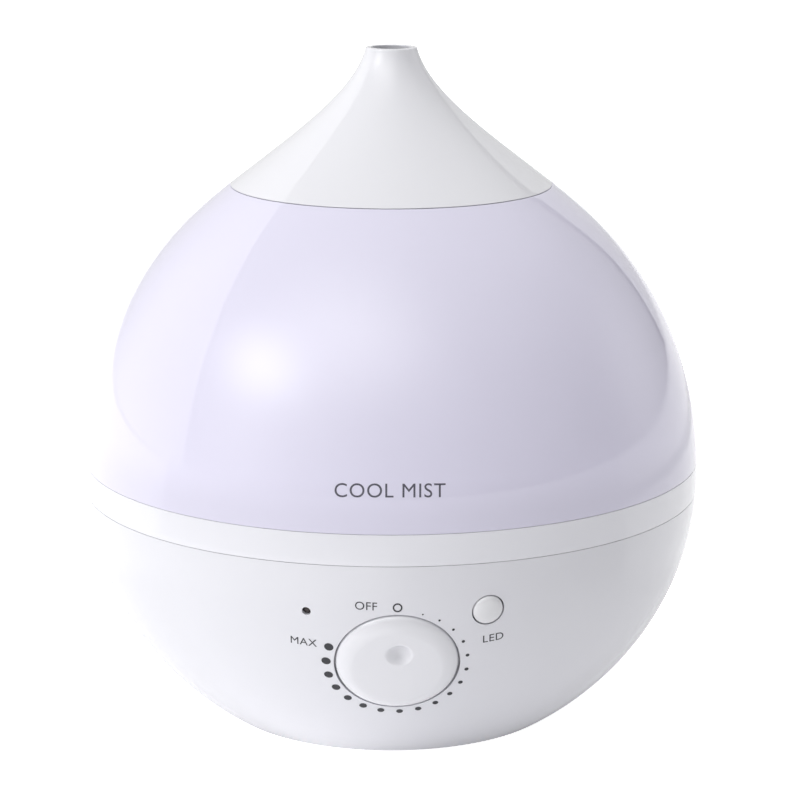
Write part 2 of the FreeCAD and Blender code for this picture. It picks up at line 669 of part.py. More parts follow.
save("nozzle_cap", nozzle_cap())
save("mist_funnel", mist_funnel())
save("tank_body", tank_body())
save("tank_floor", tank_floor())
save("fill_cap", fill_cap())
save("fill_cap_seal", tube(19.6, 17.4, 82.1, 83.9, FILL_X, FILL_Y))
save("valve_stem", valve_stem())
save("valve_disc", tube(8.0, STEM_R, 82.2, 84.2, FILL_X, FILL_Y))
save("valve_spring", valve_spring())
save("base_ring", base_ring())
save("basin_deck", basin_deck())
save("basin", basin())
save("mist_chamber", mist_chamber())
save("air_tube", tube(AIR_R, AIR_BORE_R, TROUGH_FLOOR, 85.0, 0, AIR_Y))
save("base_bowl", base_bowl())
save("base_plate", base_plate())
save("base_screws", screw_set(COLUMNS, 1.2, 2.8, 1.0, 26.0, PLATE_BOTTOM))
save("rubber_feet", rubber_feet())
save("transducer_seal", transducer_seal())
save("transducer_disc", disc(10.0, 56.1, 57.3))
save("transducer_holder", transducer_holder())
save("transducer_screws", screw_set(around(17.0, [30, 150, 270]), 1.1, 2.4, 1.0, 7.0, 49.8))
save("float_body", float_body())
save("float_magnet", tube(8.9, 6.1, 61.4, 63.9, FLOAT_X, FLOAT_Y))
save("float_clip", float_clip())
save("reed_switch", disc(2.4, 60.0, 76.0, FLOAT_X, FLOAT_Y))
save("fan_frame", fan_frame())
save("fan_rotor", fan_rotor())
save("fan_duct", fan_duct())
save("fan_screws", fan_screws())
save("driver_board", driver_board())
save("driver_heatsink", driver_heatsink())
save("driver_coil", driver_coil())
save("driver_capacitors", driver_capacitors())
save("dial_pot", dial_pot())
save("pot_shaft", pot_shaft())
save("pot_nut", pot_nut())
save("control_knob", control_knob())
save("led_button", led_button())
save("button_board", button_board())
save("button_switch", button_switch())
save("button_buffer", button_buffer())
save("indicator_lens", indicator_lens())
save("indicator_board", indicator_board())
save("night_light_board", night_light_board())
save("night_light_window", night_light_window())
save("dc_inlet", dc_inlet())
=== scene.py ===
import json
import math

import bpy
import bmesh
from mathutils import Matrix, Vector

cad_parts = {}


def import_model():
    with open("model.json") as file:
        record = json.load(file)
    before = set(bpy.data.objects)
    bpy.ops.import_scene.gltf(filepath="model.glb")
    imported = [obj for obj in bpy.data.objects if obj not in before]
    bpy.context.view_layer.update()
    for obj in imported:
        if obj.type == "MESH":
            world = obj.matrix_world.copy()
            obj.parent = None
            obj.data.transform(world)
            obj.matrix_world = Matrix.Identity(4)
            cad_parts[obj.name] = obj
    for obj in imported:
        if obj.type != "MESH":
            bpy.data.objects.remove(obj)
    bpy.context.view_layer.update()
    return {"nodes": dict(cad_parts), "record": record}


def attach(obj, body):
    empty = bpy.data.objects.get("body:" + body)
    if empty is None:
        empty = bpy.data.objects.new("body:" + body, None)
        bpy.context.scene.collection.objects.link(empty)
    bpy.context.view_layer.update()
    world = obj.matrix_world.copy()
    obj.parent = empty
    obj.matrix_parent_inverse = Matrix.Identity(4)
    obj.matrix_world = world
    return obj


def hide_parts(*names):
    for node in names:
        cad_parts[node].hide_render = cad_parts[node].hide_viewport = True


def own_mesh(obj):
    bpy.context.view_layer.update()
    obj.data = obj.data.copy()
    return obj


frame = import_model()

NODES = frame["nodes"]
MM = 0.001

# Outer skin in millimetres, the same curves as the CAD
R_MAX = 110.3
Z_EQUATOR = 88.0
HEIGHT_BELOW = 104.0
HEIGHT_ABOVE = 120.5
Z_CONE = 180.0
Z_TOP = 240.0
R_TIP = 9.0
TIP_SLOPE = -0.24

# Nozzle cap: its shell, and the plug that sits in the tank's well
CAP_BOTTOM = 191.85
CAP_WALL = 2.0
CAP_INNER_BOTTOM = 193.0
PLUG_INNER_R = 51.2
PLUG_OUTER_R = 53.0
PLUG_BOTTOM = 187.6

# Tank: its shell, the well in its top and the mist chimney
TANK_BOTTOM = 93.78
TANK_TOP = 191.7
TANK_WALL = 2.5
WELL_FLOOR = 187.5
TANK_CEILING = 185.0
CHIMNEY_OUTER_R = 19.0
CHIMNEY_INNER_R = 17.0
CHIMNEY_TOP = 189.0
CHIMNEY_BOTTOM = 98.5

# White band between the tank and the bowl, with a groove inside its top edge
RING_BOTTOM = 83.02
RING_TOP = 93.65
RING_WALL = 3.0
GROOVE_TOP = 92.0
GROOVE_BOTTOM = 90.2
GROOVE_R = 102.5

# Places of the controls on the bowl
KNOB_Z = 46.0
BUTTON_Z = 66.1
SIDE_AZIMUTH = 16.1

# Knob: heights are from the skin, and the dimple is off the knob's centre
KNOB_SEGMENTS = 192
KNOB_FACE_R = 14.6
KNOB_RIM_R = 20.4
KNOB_LOW = -2.6
KNOB_RISE = 3.8
KNOB_CROWN = 0.4
KNOB_FACE_STEPS = 40
KNOB_SHOULDER_STEPS = 29
DIMPLE_X = 0.6
DIMPLE_Y = 6.3
DIMPLE_R = 4.7
DIMPLE_DEPTH = 2.6

# Button and indicator: radius, and the base and height of the dome, from the skin
BUTTON_R = 5.15
BUTTON_DOME_BASE = -0.55
BUTTON_DOME = 2.05
INDICATOR_R = 1.45
INDICATOR_DOME_BASE = -1.5
INDICATOR_DOME = 0.9

# Dots round the dial, from the largest at MAX to the smallest beside OFF
DOT_RADII = (
    1.55, 1.55, 1.5, 1.45, 1.35, 1.3, 1.2, 1.15, 1.1,
    1.0, 0.92, 0.82, 0.72, 0.64, 0.56, 0.48, 0.4, 0.3,
)
DOT_CIRCLE_R = 23.5
DOT_PULL_IN = 0.35
FIRST_PULLED_DOT = 15
FIRST_DOT_CLOCK = 286.2
DOT_STEP = 15.56
OFF_RING_Y = 23.6
LABEL_HEIGHT = 2.9
LABEL_SPACING = 1.05
FRONT_HEIGHT = 4.6
FRONT_SPACING = 1.08
INK_LIFT = 0.03

# Half the floor's side and the bounce card's depth under it, in metres
FLOOR_HALF = 40
BOUNCE_DROP = 0.0004

# Light given off by the bounce card: inner and outer radius in metres, side, depth, strength
BOUNCE = [
    (0.0, 0.2, "left", "back", 0.30),
    (0.0, 0.2, "left", "front", 0.43),
    (0.0, 0.2, "right", "back", 0.19),
    (0.0, 0.2, "right", "front", 0.21),
    (0.2, 6.0, "left", "back", 0.60),
    (0.2, 0.34, "left", "front", 0.71),
    (0.2, 0.6, "right", "back", 0.38),
    (0.78, 6.0, "right", "back", 0.30),
]
BOUNCE_BLUR = 0.03

# Soft lamps: azimuth from the front towards +X, elevation, half width, half height, strength
KEY_GLOW = (-61, 33, 17, 10, 3.9)
LAMPS = [
    (-60, 12, 16, 18, 0.9),
    (-35, 12, 16, 18, 0.38),
    (110, 12, 16, 18, 0.89),
    (135, 12, 16, 18, 0.38),
    (-25, 50, 28, 20, 2.15),
    (80, 50, 28, 20, 0.23),
    (150, 50, 28, 20, 0.43),
]

# Light of the white wall, what it loses behind the object, and the light overhead
WALL_LIGHT = 1.16
WALL_FALL = 0.44
SKY = 0.88

# Camera: 1 m from the target, tilt and turn in degrees
TARGET = (0, 0, 0.1128)
CAMERA_TILT = 13.2346
CAMERA_TURN = 1.074
SENSOR = 36
FOCAL_PIXELS = 2770.37
IMAGE_WIDTH = 800
SHIFT_X = 0.0108


# ---------------------------------------------------------------- skin

def outer_radius(z):
    """Radius of the whole drop at a height."""
    if z > Z_CONE:
        start = R_MAX * math.sqrt(1 - ((Z_CONE - Z_EQUATOR) / HEIGHT_ABOVE) ** 2)
        slope = -((R_MAX / HEIGHT_ABOVE) ** 2) * (Z_CONE - Z_EQUATOR) / start
        span = Z_TOP - Z_CONE
        t = (z - Z_CONE) / span
        return (
            (2 * t ** 3 - 3 * t ** 2 + 1) * start
            + (t ** 3 - 2 * t ** 2 + t) * span * slope
            + (3 * t ** 2 - 2 * t ** 3) * R_TIP
            + (t ** 3 - t ** 2) * span * TIP_SLOPE
        )
    half = HEIGHT_ABOVE if z > Z_EQUATOR else HEIGHT_BELOW
    return R_MAX * math.sqrt(max(0.0, 1 - ((z - Z_EQUATOR) / half) ** 2))


def skin_slope(z):
    return (outer_radius(z + 0.05) - outer_radius(z - 0.05)) / 0.1


def skin_radius(z, inset):
    """Radius of a surface that is inset from the skin, measured square to it."""
    return outer_radius(z) - inset * math.hypot(1.0, skin_slope(z))


def inset_point(z, inset):
    return skin_radius(z, inset), z


def skin_points(z0, z1, inset, step=1.5):
    count = max(2, int(abs(z1 - z0) / step))
    return [inset_point(z0 + (z1 - z0) * i / count, inset) for i in range(count + 1)]


def skin_normal(point):
    """Outward normal of the skin at a point in millimetres."""
    level = Vector((point[0], point[1], 0)).normalized()
    return (level - Vector((0, 0, skin_slope(point[2])))).normalized()


def wall_frame(z, azimuth):
    """4x4 frame on the skin in millimetres: local Z straight out, local Y up the wall."""
    a = math.radians(azimuth)
    level = Vector((math.sin(a), -math.cos(a), 0))
    slope = skin_slope(z)
    out = (level - Vector((0, 0, slope))).normalized()
    rise = (level * slope + Vector((0, 0, 1))).normalized()
    side = rise.cross(out)
    placement = Matrix((side, rise, out)).transposed().to_4x4()
    placement.translation = level * outer_radius(z) + Vector((0, 0, z))
    return placement


KNOB_FRAME = wall_frame(KNOB_Z, 0.0)
BUTTON_FRAME = wall_frame(BUTTON_Z, SIDE_AZIMUTH)
INDICATOR_FRAME = wall_frame(BUTTON_Z, -SIDE_AZIMUTH)


# ---------------------------------------------------------------- meshes

def link_object(name, mesh):
    obj = bpy.data.objects.new(name, mesh)
    bpy.context.scene.collection.objects.link(obj)
    return obj


def new_object(name, vertices, faces, sharp):
    """Mesh object from millimetres, smooth except at edges sharper than an angle in degrees."""
    mesh = bpy.data.meshes.new(name)
    mesh.from_pydata([Vector(v) * MM for v in vertices], [], faces)
    mesh.validate()
    mesh.shade_smooth()
    mesh.set_sharp_from_angle(angle=math.radians(sharp))
    bm = bmesh.new()
    bm.from_mesh(mesh)
    bmesh.ops.recalc_face_normals(bm, faces=bm.faces)
    bm.to_mesh(mesh)
    bm.free()
    return link_object(name, mesh)


def soften(outline, radius, steps=5, limit=25.0):
    """Rounds the sharp corners of a closed outline."""
    result = []
    count = len(outline)
    for i in range(count):
        before = Vector(outline[i - 1])
        here = Vector(outline[i])
        after = Vector(outline[(i + 1) % count])
        a = before - here
        b = after - here
        if a.length < 1e-6 or b.length < 1e-6:
            result.append(tuple(here))
            continue
        turn = 180 - math.degrees(a.angle(b))
        if turn < limit or here.x < 1e-6:
            result.append(tuple(here))
            continue
        cut = min(radius, a.length * 0.48, b.length * 0.48)
        p0 = here + a.normalized() * cut
        p2 = here + b.normalized() * cut
        for k in range(steps + 1):
            t = k / steps
            point = p0 * (1 - t) ** 2 + here * 2 * t * (1 - t) + p2 * t ** 2
            result.append(tuple(point))
    return result


def turned(outline, segments, closed):
    """Vertices and faces of an outline of (radius, height) turned about the axis."""
    vertices = []
    rings = []
    for r, z in outline:
        if r < 1e-6:
            rings.append([len(vertices)] * segments)
            vertices.append(Vector((0, 0, z)))
            continue
        rings.append([len(vertices) + k for k in range(segments)])
        for k in range(segments):
            a = 2 * math.pi * k / segments
            vertices.append(Vector((r * math.cos(a), r * math.sin(a), z)))
    faces = []
    for i in range(len(rings) if closed else len(rings) - 1):
        low = rings[i]
        high = rings[(i + 1) % len(rings)]
        for k in range(segments):
            n = (k + 1) % segments
            corners = []
            for v in (low[k], low[n], high[n], high[k]):
                if v not in corners:
                    corners.append(v)
            if len(corners) > 2:
                faces.append(corners)
    return vertices, faces


def lathe(name, outline, segments, placement=None):
    vertices, faces = turned(outline, segments, True)
    if placement is not None:
        vertices = [placement @ v for v in vertices]
    return new_object(name, vertices, faces, 32)


def nozzle_cap():
    inner = skin_points(Z_TOP, CAP_INNER_BOTTOM, CAP_WALL, 1.0)
    inner = [p for p in inner if p[0] < PLUG_INNER_R]
    outline = skin_points(CAP_BOTTOM, Z_TOP, 0.0, 1.0) + inner
    outline += [
        (PLUG_INNER_R, inner[-1][1] - 1.0),
        (PLUG_INNER_R, PLUG_BOTTOM),
        (PLUG_OUTER_R, PLUG_BOTTOM),
        (PLUG_OUTER_R, CAP_BOTTOM),
    ]
    cap = lathe("cap_shell", soften(outline, 0.45), 288)
    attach(cap, "cap")
    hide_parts("nozzle_cap")
    return cap


def tank():
    outline = skin_points(TANK_BOTTOM, TANK_TOP, 0.0)
    outline += skin_points(TANK_TOP, WELL_FLOOR, TANK_WALL)
    outline += [
        (CHIMNEY_OUTER_R, WELL_FLOOR),
        (CHIMNEY_OUTER_R, CHIMNEY_TOP),
        (CHIMNEY_INNER_R, CHIMNEY_TOP),
        (CHIMNEY_INNER_R, CHIMNEY_BOTTOM),
        (CHIMNEY_OUTER_R, CHIMNEY_BOTTOM),
        (CHIMNEY_OUTER_R, TANK_CEILING),
    ]
    outline += skin_points(TANK_CEILING, TANK_BOTTOM, TANK_WALL)
    shell = lathe("tank_shell", soften(outline, 0.15), 320)
    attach(shell, "tank")
    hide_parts("tank_body")
    return shell


def ring():
    outline = skin_points(RING_BOTTOM, RING_TOP, 0.0, 1.0)
    outline += [
        inset_point(RING_TOP, RING_WALL),
        inset_point(GROOVE_TOP, RING_WALL),
        (GROOVE_R, GROOVE_TOP),
        (GROOVE_R, GROOVE_BOTTOM),
        inset_point(GROOVE_BOTTOM, RING_WALL),
        inset_point(RING_BOTTOM, RING_WALL),
    ]
    band = lathe("ring_band", soften(outline, 0.2), 320)
    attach(band, "base")
    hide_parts("base_ring")
    return band


def bowl():
    """Bowl from the CAD surface, shaded with the skin's true normals."""
    mesh = NODES["base_bowl"].data.copy()
    mesh.name = "bowl_shell"
    mesh.materials.clear()
    normals = []
    for poly in mesh.polygons:
        for loop in poly.loop_indices:
            v = mesh.vertices[mesh.loops[loop].vertex_index].co / MM
            outer = skin_normal(v)
            gap = outer_radius(v.z) - math.hypot(v.x, v.y)
            on_outside = abs(gap) < 0.05 and poly.normal.dot(outer) > 0.93
            normals.append(outer if on_outside else poly.normal.copy())
    mesh.shade_smooth()
    mesh.normals_split_custom_set(normals)
    shell = link_object("bowl_shell", mesh)
    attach(shell, "base")
    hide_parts("base_bowl")
    return shell


def knob():
    """Low domed knob with a soft finger dimple, one surface over a shallow skirt."""
    profile = []
    for i in range(KNOB_FACE_STEPS + 1):
        u = i / KNOB_FACE_STEPS
        profile.append((KNOB_FACE_R * u, KNOB_LOW + KNOB_RISE + KNOB_CROWN * (1 - u ** 2)))
    for i in range(1, KNOB_SHOULDER_STEPS):
        u = i / KNOB_SHOULDER_STEPS
        height = 0.55 * math.sqrt(1 - u * u) + 0.45 * (1 - u ** 1.5)
        profile.append((KNOB_FACE_R + (KNOB_RIM_R - KNOB_FACE_R) * u, KNOB_LOW + KNOB_RISE * height))
    profile += [(KNOB_RIM_R, -2.7), (KNOB_RIM_R, -3.3), (KNOB_RIM_R, -4.0), (KNOB_RIM_R - 0.2, -4.2)]
    profile += [(17.0, -4.2), (17.0, -1.4), (0.0, -1.4)]
    vertices, faces = turned(profile, KNOB_SEGMENTS, False)
    for v in vertices:
        d = math.hypot(v.x - DIMPLE_X, v.y - DIMPLE_Y) / DIMPLE_R
        if d < 1:
            v.z -= DIMPLE_DEPTH * (1 - d * d) ** 1.5
    dial = new_object("mist_knob", [KNOB_FRAME @ v for v in vertices], faces, 50)
    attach(dial, "knob")
    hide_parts("control_knob")
    return dial


def dome(radius, base, height, steps):
    """Quarter ellipse from the top of a dome to its edge."""
    angles = [math.pi / 2 * i / steps for i in range(steps + 1)]
    return [(radius * math.sin(a), base + height * math.cos(a)) for a in angles]


def button():
    outline = dome(BUTTON_R, BUTTON_DOME_BASE, BUTTON_DOME, 18)
    outline += [(BUTTON_R, -7.6), (4.4, -7.6), (4.4, -8.05), (6.4, -8.05), (6.4, -9.05)]
    outline += [(2.0, -9.05), (2.0, -11.0), (0, -11.0)]
    key = lathe("light_button", outline, 96, BUTTON_FRAME)
    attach(key, "button")
    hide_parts("led_button")
    return key


def indicator():
    outline = dome(INDICATOR_R, INDICATOR_DOME_BASE, INDICATOR_DOME, 10)
    outline += [(INDICATOR_R, -3.6), (2.0, -3.6), (2.0, -5.0), (0, -5.0)]
    lens = lathe("indicator_dome", outline, 64, INDICATOR_FRAME)
    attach(lens, "base")
    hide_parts("indicator_lens")
    return lens


def closing_spring():
    """The valve's wire spring, copied from the CAD onto a mesh of its own."""
    spring = link_object("closing_spring", NODES["valve_spring"].data.copy())
    spring.data.materials.clear()
    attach(spring, "filler")
    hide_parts("valve_spring")
    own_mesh(spring)
    return spring


# ---------------------------------------------------------------- printed marks

def on_skin(u, v, base):
    """Point just off the skin under local (u, v) of a wall frame, in millimetres."""
    low = -14.0
    high = 4.0
    for _ in range(40):
        middle = (low + high) / 2
        p = base @ Vector((u, v, middle))
        if math.hypot(p.x, p.y) < outer_radius(p.z):
            low = middle
        else:
            high = middle
    point = base @ Vector((u, v, low))
    return point + skin_normal(point) * INK_LIFT


def print_flat(name, base, outlines, body):
    """Thin ink: flat (points, faces) shapes in local millimetres, laid on the skin."""
    vertices = []
    faces = []
    for points, polys in outlines:
        start = len(vertices)
        vertices += [on_skin(x, y, base) for x, y in points]
        faces += [[start + i for i in poly] for poly in polys]
    mesh = bpy.data.meshes.new(name)
    mesh.from_pydata([v * MM for v in vertices], [], faces)
    mesh.shade_smooth()
    bm = bmesh.new()
    bm.from_mesh(mesh)
    for face in bm.faces:
        if face.normal.dot(skin_normal(face.calc_center_median() / MM)) < 0:
            face.normal_flip()
    bm.to_mesh(mesh)
    bm.free()
    ink = link_object(name, mesh)
    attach(ink, body)
    return ink


def dot(x, y, radius, count=24):
    points = [(x, y)]
    for k in range(count):
        a = 2 * math.pi * k / count
        points.append((x + radius * math.cos(a), y + radius * math.sin(a)))
    return points, [[0, 1 + k, 1 + (k + 1) % count] for k in range(count)]


def annulus(x, y, outer, inner, count=40):
    points = []
    faces = []
    for k in range(count):
        a = 2 * math.pi * k / count
        points.append((x + outer * math.cos(a), y + outer * math.sin(a)))
        points.append((x + inner * math.cos(a), y + inner * math.sin(a)))
        n = (k + 1) % count
        faces.append([2 * k, 2 * n, 2 * n + 1, 2 * k + 1])
    return points, faces


def lettering(words, height, spacing, turn=0.0, dx=0.0, dy=0.0):
    """Generic sans lettering as flat triangles centred on (dx, dy), cap height in millimetres."""
    curve = bpy.data.curves.new("words", "FONT")
    curve.body = words
    curve.align_x = "CENTER"
    curve.align_y = "CENTER"
    curve.space_character = spacing
    curve.resolution_u = 6
    holder = link_object("words", curve)
    bpy.context.view_layer.update()
    mesh = bpy.data.meshes.new_from_object(holder)
    bm = bmesh.new()
    bm.from_mesh(mesh)
    bmesh.ops.triangulate(bm, faces=bm.faces)
    bm.to_mesh(mesh)
    bm.free()
    xs = [v.co.x for v in mesh.vertices]
    ys = [v.co.y for v in mesh.vertices]
    scale = height / (max(ys) - min(ys))
    cx = (max(xs) + min(xs)) / 2
    cy = (max(ys) + min(ys)) / 2
    a = math.radians(turn)
    points = []
    for v in mesh.vertices:
        x = (v.co.x - cx) * scale
        y = (v.co.y - cy) * scale
        points.append((x * math.cos(a) - y * math.sin(a) + dx, x * math.sin(a) + y * math.cos(a) + dy))
    faces = [list(p.vertices) for p in mesh.polygons]
    bpy.data.objects.remove(holder)
    bpy.data.meshes.remove(mesh)
    bpy.data.curves.remove(curve)
    return points, faces


def dial_marks():
    """Eighteen growing dots and the small off ring round the knob."""
    shapes = []
    for i, size in enumerate(DOT_RADII):
        clock = math.radians(FIRST_DOT_CLOCK - DOT_STEP * i)
        reach = DOT_CIRCLE_R - DOT_PULL_IN * max(0, i - FIRST_PULLED_DOT + 1)
        shapes.append(dot(reach * math.sin(clock), reach * math.cos(clock), size))
    shapes.append(annulus(0, OFF_RING_Y, 1.6, 1.1))
    return print_flat("dial_marks", KNOB_FRAME, shapes, "base")


def labels():
    """The three labels beside the controls."""
    off_word = lettering("OFF", LABEL_HEIGHT, LABEL_SPACING, dx=-10.3, dy=23.9)
    max_word = lettering("MAX", LABEL_HEIGHT, LABEL_SPACING, -5)
    led_word = lettering("LED", LABEL_HEIGHT, LABEL_SPACING, 7)
    return [
        print_flat("off_mark", KNOB_FRAME, [off_word], "base"),
        print_flat("max_mark", wall_frame(54.4, -17.2), [max_word], "base"),
        print_flat("led_mark", wall_frame(55.5, 17.7), [led_word], "base"),
    ]


def front_words():
    """The generic words low on the front of the tank."""
    words = lettering("COOL MIST", FRONT_HEIGHT, FRONT_SPACING)
    return print_flat("front_mark", wall_frame(108.3, -1.3), [words], "tank")


# ---------------------------------------------------------------- materials

def srgb(r, g, b):
    """Linear colour from display values of 0 to 255, each above 10."""
    return tuple(((c / 255 + 0.055) / 1.055) ** 2.4 for c in (r, g, b))


def noise_field(tree, coords, scale, detail):
    noise = tree.nodes.new("ShaderNodeTexNoise")
    noise.inputs["Scale"].default_value = scale
    noise.inputs["Detail"].default_value = detail
    tree.links.new(coords.outputs["Object"], noise.inputs["Vector"])
    return noise.outputs["Fac"]


def material(name, color, roughness, metallic=0.0, coat=0.0, coat_roughness=0.1, grain=0.0,
             mottling=0.02, transmission=0.0):
    """Moulded surface: cloudy colour and gloss from one noise, and a fine grain as bump."""
    mat = bpy.data.materials.new(name)
    mat.use_nodes = True
    tree = mat.node_tree
    bsdf = tree.nodes["Principled BSDF"]
    bsdf.inputs["Metallic"].default_value = metallic
    bsdf.inputs["Coat Weight"].default_value = coat
    bsdf.inputs["Coat Roughness"].default_value = coat_roughness
    bsdf.inputs["IOR"].default_value = 1.46
    bsdf.inputs["Transmission Weight"].default_value = transmission
    coords = tree.nodes.new("ShaderNodeTexCoord")
    clouds = noise_field(tree, coords, 45.0, 3.0)
    mix = tree.nodes.new("ShaderNodeMix")
    mix.data_type = "RGBA"
    mix.inputs["A"].default_value = (*[c * (1 - mottling) for c in color], 1)
    mix.inputs["B"].default_value = (*color, 1)
    tree.links.new(clouds, mix.inputs["Factor"])
    tree.links.new(mix.outputs["Result"], bsdf.inputs["Base Color"])
    rough = tree.nodes.new("ShaderNodeMapRange")
    rough.inputs["To Min"].default_value = roughness * 0.92
    rough.inputs["To Max"].default_value = min(1.0, roughness * 1.08)
    tree.links.new(clouds, rough.inputs["Value"])
    tree.links.new(rough.outputs["Result"], bsdf.inputs["Roughness"])
    if grain:
        bump = tree.nodes.new("ShaderNodeBump")
        bump.inputs["Strength"].default_value = grain
        bump.inputs["Distance"].default_value = 0.0001
        tree.links.new(noise_field(tree, coords, 900.0, 2.0), bump.inputs["Height"])
        tree.links.new(bump.outputs["Normal"], bsdf.inputs["Normal"])
    return mat


def paint_low_shade(mat, low, high, dim, bright):
    """Painted shade: darkens a material's colour towards the bottom, from a dimmer to a brighter tone
    between two heights in metres."""
    tree = mat.node_tree
    bsdf = tree.nodes["Principled BSDF"]
    source = bsdf.inputs["Base Color"].links[0].from_socket
    coords = tree.nodes.new("ShaderNodeTexCoord")
    split = tree.nodes.new("ShaderNodeSeparateXYZ")
    tree.links.new(coords.outputs["Object"], split.inputs[0])
    height = tree.nodes.new("ShaderNodeMapRange")
    height.interpolation_type = "SMOOTHSTEP"
    height.inputs["From Min"].default_value = low
    height.inputs["From Max"].default_value = high
    height.inputs["To Min"].default_value = dim
    height.inputs["To Max"].default_value = bright
    tree.links.new(split.outputs["Z"], height.inputs["Value"])
    scale = tree.nodes.new("ShaderNodeVectorMath")
    scale.operation = "SCALE"
    tree.links.new(source, scale.inputs[0])
    tree.links.new(height.outputs["Result"], scale.inputs["Scale"])
    tree.links.new(scale.outputs["Vector"], bsdf.inputs["Base Color"])


def give(obj, mat):
    obj.data.materials.clear()
    obj.data.materials.append(mat)


WHITE = material("cap_white", srgb(232, 232, 237), 0.5, coat=1.0, coat_roughness=0.03)
LILAC = material("tank_lilac", srgb(225, 222, 241), 0.5, coat=1.0, coat_roughness=0.03)
# Painted shade: the tank's lilac is darker towards its bottom edge.
paint_low_shade(LILAC, 0.097, 0.112, 0.91, 1.0)
BASE = material("base_white", srgb(222, 222, 228), 0.5, coat=1.0, coat_roughness=0.03)
KNOB = material("knob_white", srgb(227, 227, 232), 0.4, coat=1.0, coat_roughness=0.02)
RING = material("ring_white", srgb(229, 229, 235), 0.5, coat=1.0, coat_roughness=0.03)
BUTTON = material("button_white", srgb(226, 226, 229), 0.4, coat=1.0, coat_roughness=0.02)
INNER = material("inner_white", srgb(232, 232, 236), 0.5, grain=0.15)
INK = material("ink_grey", srgb(52, 52, 57), 0.55, grain=0.1)
FRONT_INK = material("front_ink", srgb(88, 86, 98), 0.5, grain=0.1)
LENS = material("indicator_tint", srgb(30, 12, 12), 0.3, coat=0.3)
CLEAR = material("window_clear", srgb(235, 238, 245), 0.2, transmission=0.6)
BLACK = material("plastic_black", srgb(38, 38, 42), 0.5, grain=0.3)
BOARD = material("circuit_green", srgb(40, 110, 70), 0.35, coat=0.4, mottling=0.2)
SEAL = material("seal_rubber", srgb(205, 205, 203), 0.7, grain=0.3)
FOOT = material("foot_rubber", srgb(120, 120, 124), 0.8, grain=0.4)
STEEL = material("steel", srgb(190, 190, 195), 0.3, metallic=1.0, grain=0.1)
PIEZO = material("piezo_brass", srgb(212, 190, 130), 0.35, metallic=1.0, mottling=0.1)
ALUMINIUM = material("heatsink", srgb(205, 208, 212), 0.35, metallic=1.0, grain=0.1)
COPPER = material("coil_copper", srgb(190, 110, 70), 0.3, metallic=1.0, mottling=0.15)
MAGNET = material("magnet", srgb(70, 70, 74), 0.5, metallic=0.6)
REED = material("reed_glass", srgb(200, 225, 215), 0.1, transmission=0.7)

SLOT_MATERIALS = {
    "cap_plastic": WHITE,
    "tank_plastic": LILAC,
    "base_plastic": BASE,
    "button_plastic": BUTTON,
    "inner_plastic": INNER,
    "clear_plastic": CLEAR,
    "indicator_plastic": LENS,
    "black_plastic": BLACK,
    "circuit_board": BOARD,
    "seal_rubber": SEAL,
    "foot_rubber": FOOT,
    "steel": STEEL,
    "piezo": PIEZO,
    "heatsink_metal": ALUMINIUM,
    "coil_copper": COPPER,
    "magnet": MAGNET,
    "reed_glass": REED,
}


# ---------------------------------------------------------------- shader arithmetic

def calc(tree, operation, a, b=0.0):
    """Math node on sockets or numbers."""
    node = tree.nodes.new("ShaderNodeMath")
    node.operation = operation
    for socket, value in zip(node.inputs, (a, b)):
        if isinstance(value, (int, float)):
            socket.default_value = value
        else:
            tree.links.new(value, socket)
    return node.outputs[0]


def product(tree, first, *others):
    for other in others:
        first = calc(tree, "MULTIPLY", first, other)
    return first


def fade(tree, value, start, end):
    """0 at start, 1 at end, smooth between."""
    node = tree.nodes.new("ShaderNodeMapRange")
    node.interpolation_type = "SMOOTHSTEP"
    tree.links.new(value, node.inputs["Value"])
    node.inputs["From Min"].default_value = start
    node.inputs["From Max"].default_value = end
    return node.outputs["Result"]


def project(tree, vector, axis):
    node = tree.nodes.new("ShaderNodeVectorMath")
    node.operation = "DOT_PRODUCT"
    tree.links.new(vector, node.inputs[0])
    node.inputs[1].default_value = axis
    return node.outputs["Value"]


def compass(azimuth, elevation):
    a = math.radians(azimuth)
    e = math.radians(elevation)
    return Vector((math.sin(a) * math.cos(e), -math.cos(a) * math.cos(e), math.sin(e)))


def soft_lamp(tree, vector, azimuth, elevation, width, height):
    """Round soft glow in the sky, half sizes in degrees."""
    centre = compass(azimuth, elevation)
    level = compass(azimuth + 90, 0)
    up = centre.cross(level) if centre.cross(level).z > 0 else level.cross(centre)
    depth = calc(tree, "MAXIMUM", project(tree, vector, centre), 0.02)
    wide = project(tree, vector, level / math.tan(math.radians(width)))
    high = project(tree, vector, up / math.tan(math.radians(height)))
    across = calc(tree, "DIVIDE", wide, depth)
    along = calc(tree, "DIVIDE", high, depth)
    spread = calc(tree, "ADD", product(tree, across, across), product(tree, along, along))
    return calc(tree, "EXPONENT", product(tree, spread, -1.0))


# ---------------------------------------------------------------- stage, light, camera

def stage_sheet(name, z, seen):
    """Large level sheet that either the camera or the light can see, and its shader."""
    h = FLOOR_HALF
    mesh = bpy.data.meshes.new(name)
    mesh.from_pydata([(-h, -h, z), (h, -h, z), (h, h, z), (-h, h, z)], [], [(0, 1, 2, 3)])
    sheet = link_object(name, mesh)
    mat = bpy.data.materials.new(name + "_white")
    mat.use_nodes = True
    bsdf = mat.node_tree.nodes["Principled BSDF"]
    bsdf.inputs["Base Color"].default_value = (0.8, 0.8, 0.81, 1)
    bsdf.inputs["Roughness"].default_value = 0.9
    bsdf.inputs["Emission Color"].default_value = (1, 1, 1, 1)
    bsdf.inputs["Emission Strength"].default_value = 0.9
    give(sheet, mat)
    sheet.visible_camera = seen
    sheet.visible_diffuse = not seen
    sheet.visible_glossy = not seen
    sheet.visible_transmission = not seen
    sheet.visible_shadow = not seen
    return mat.node_tree, bsdf


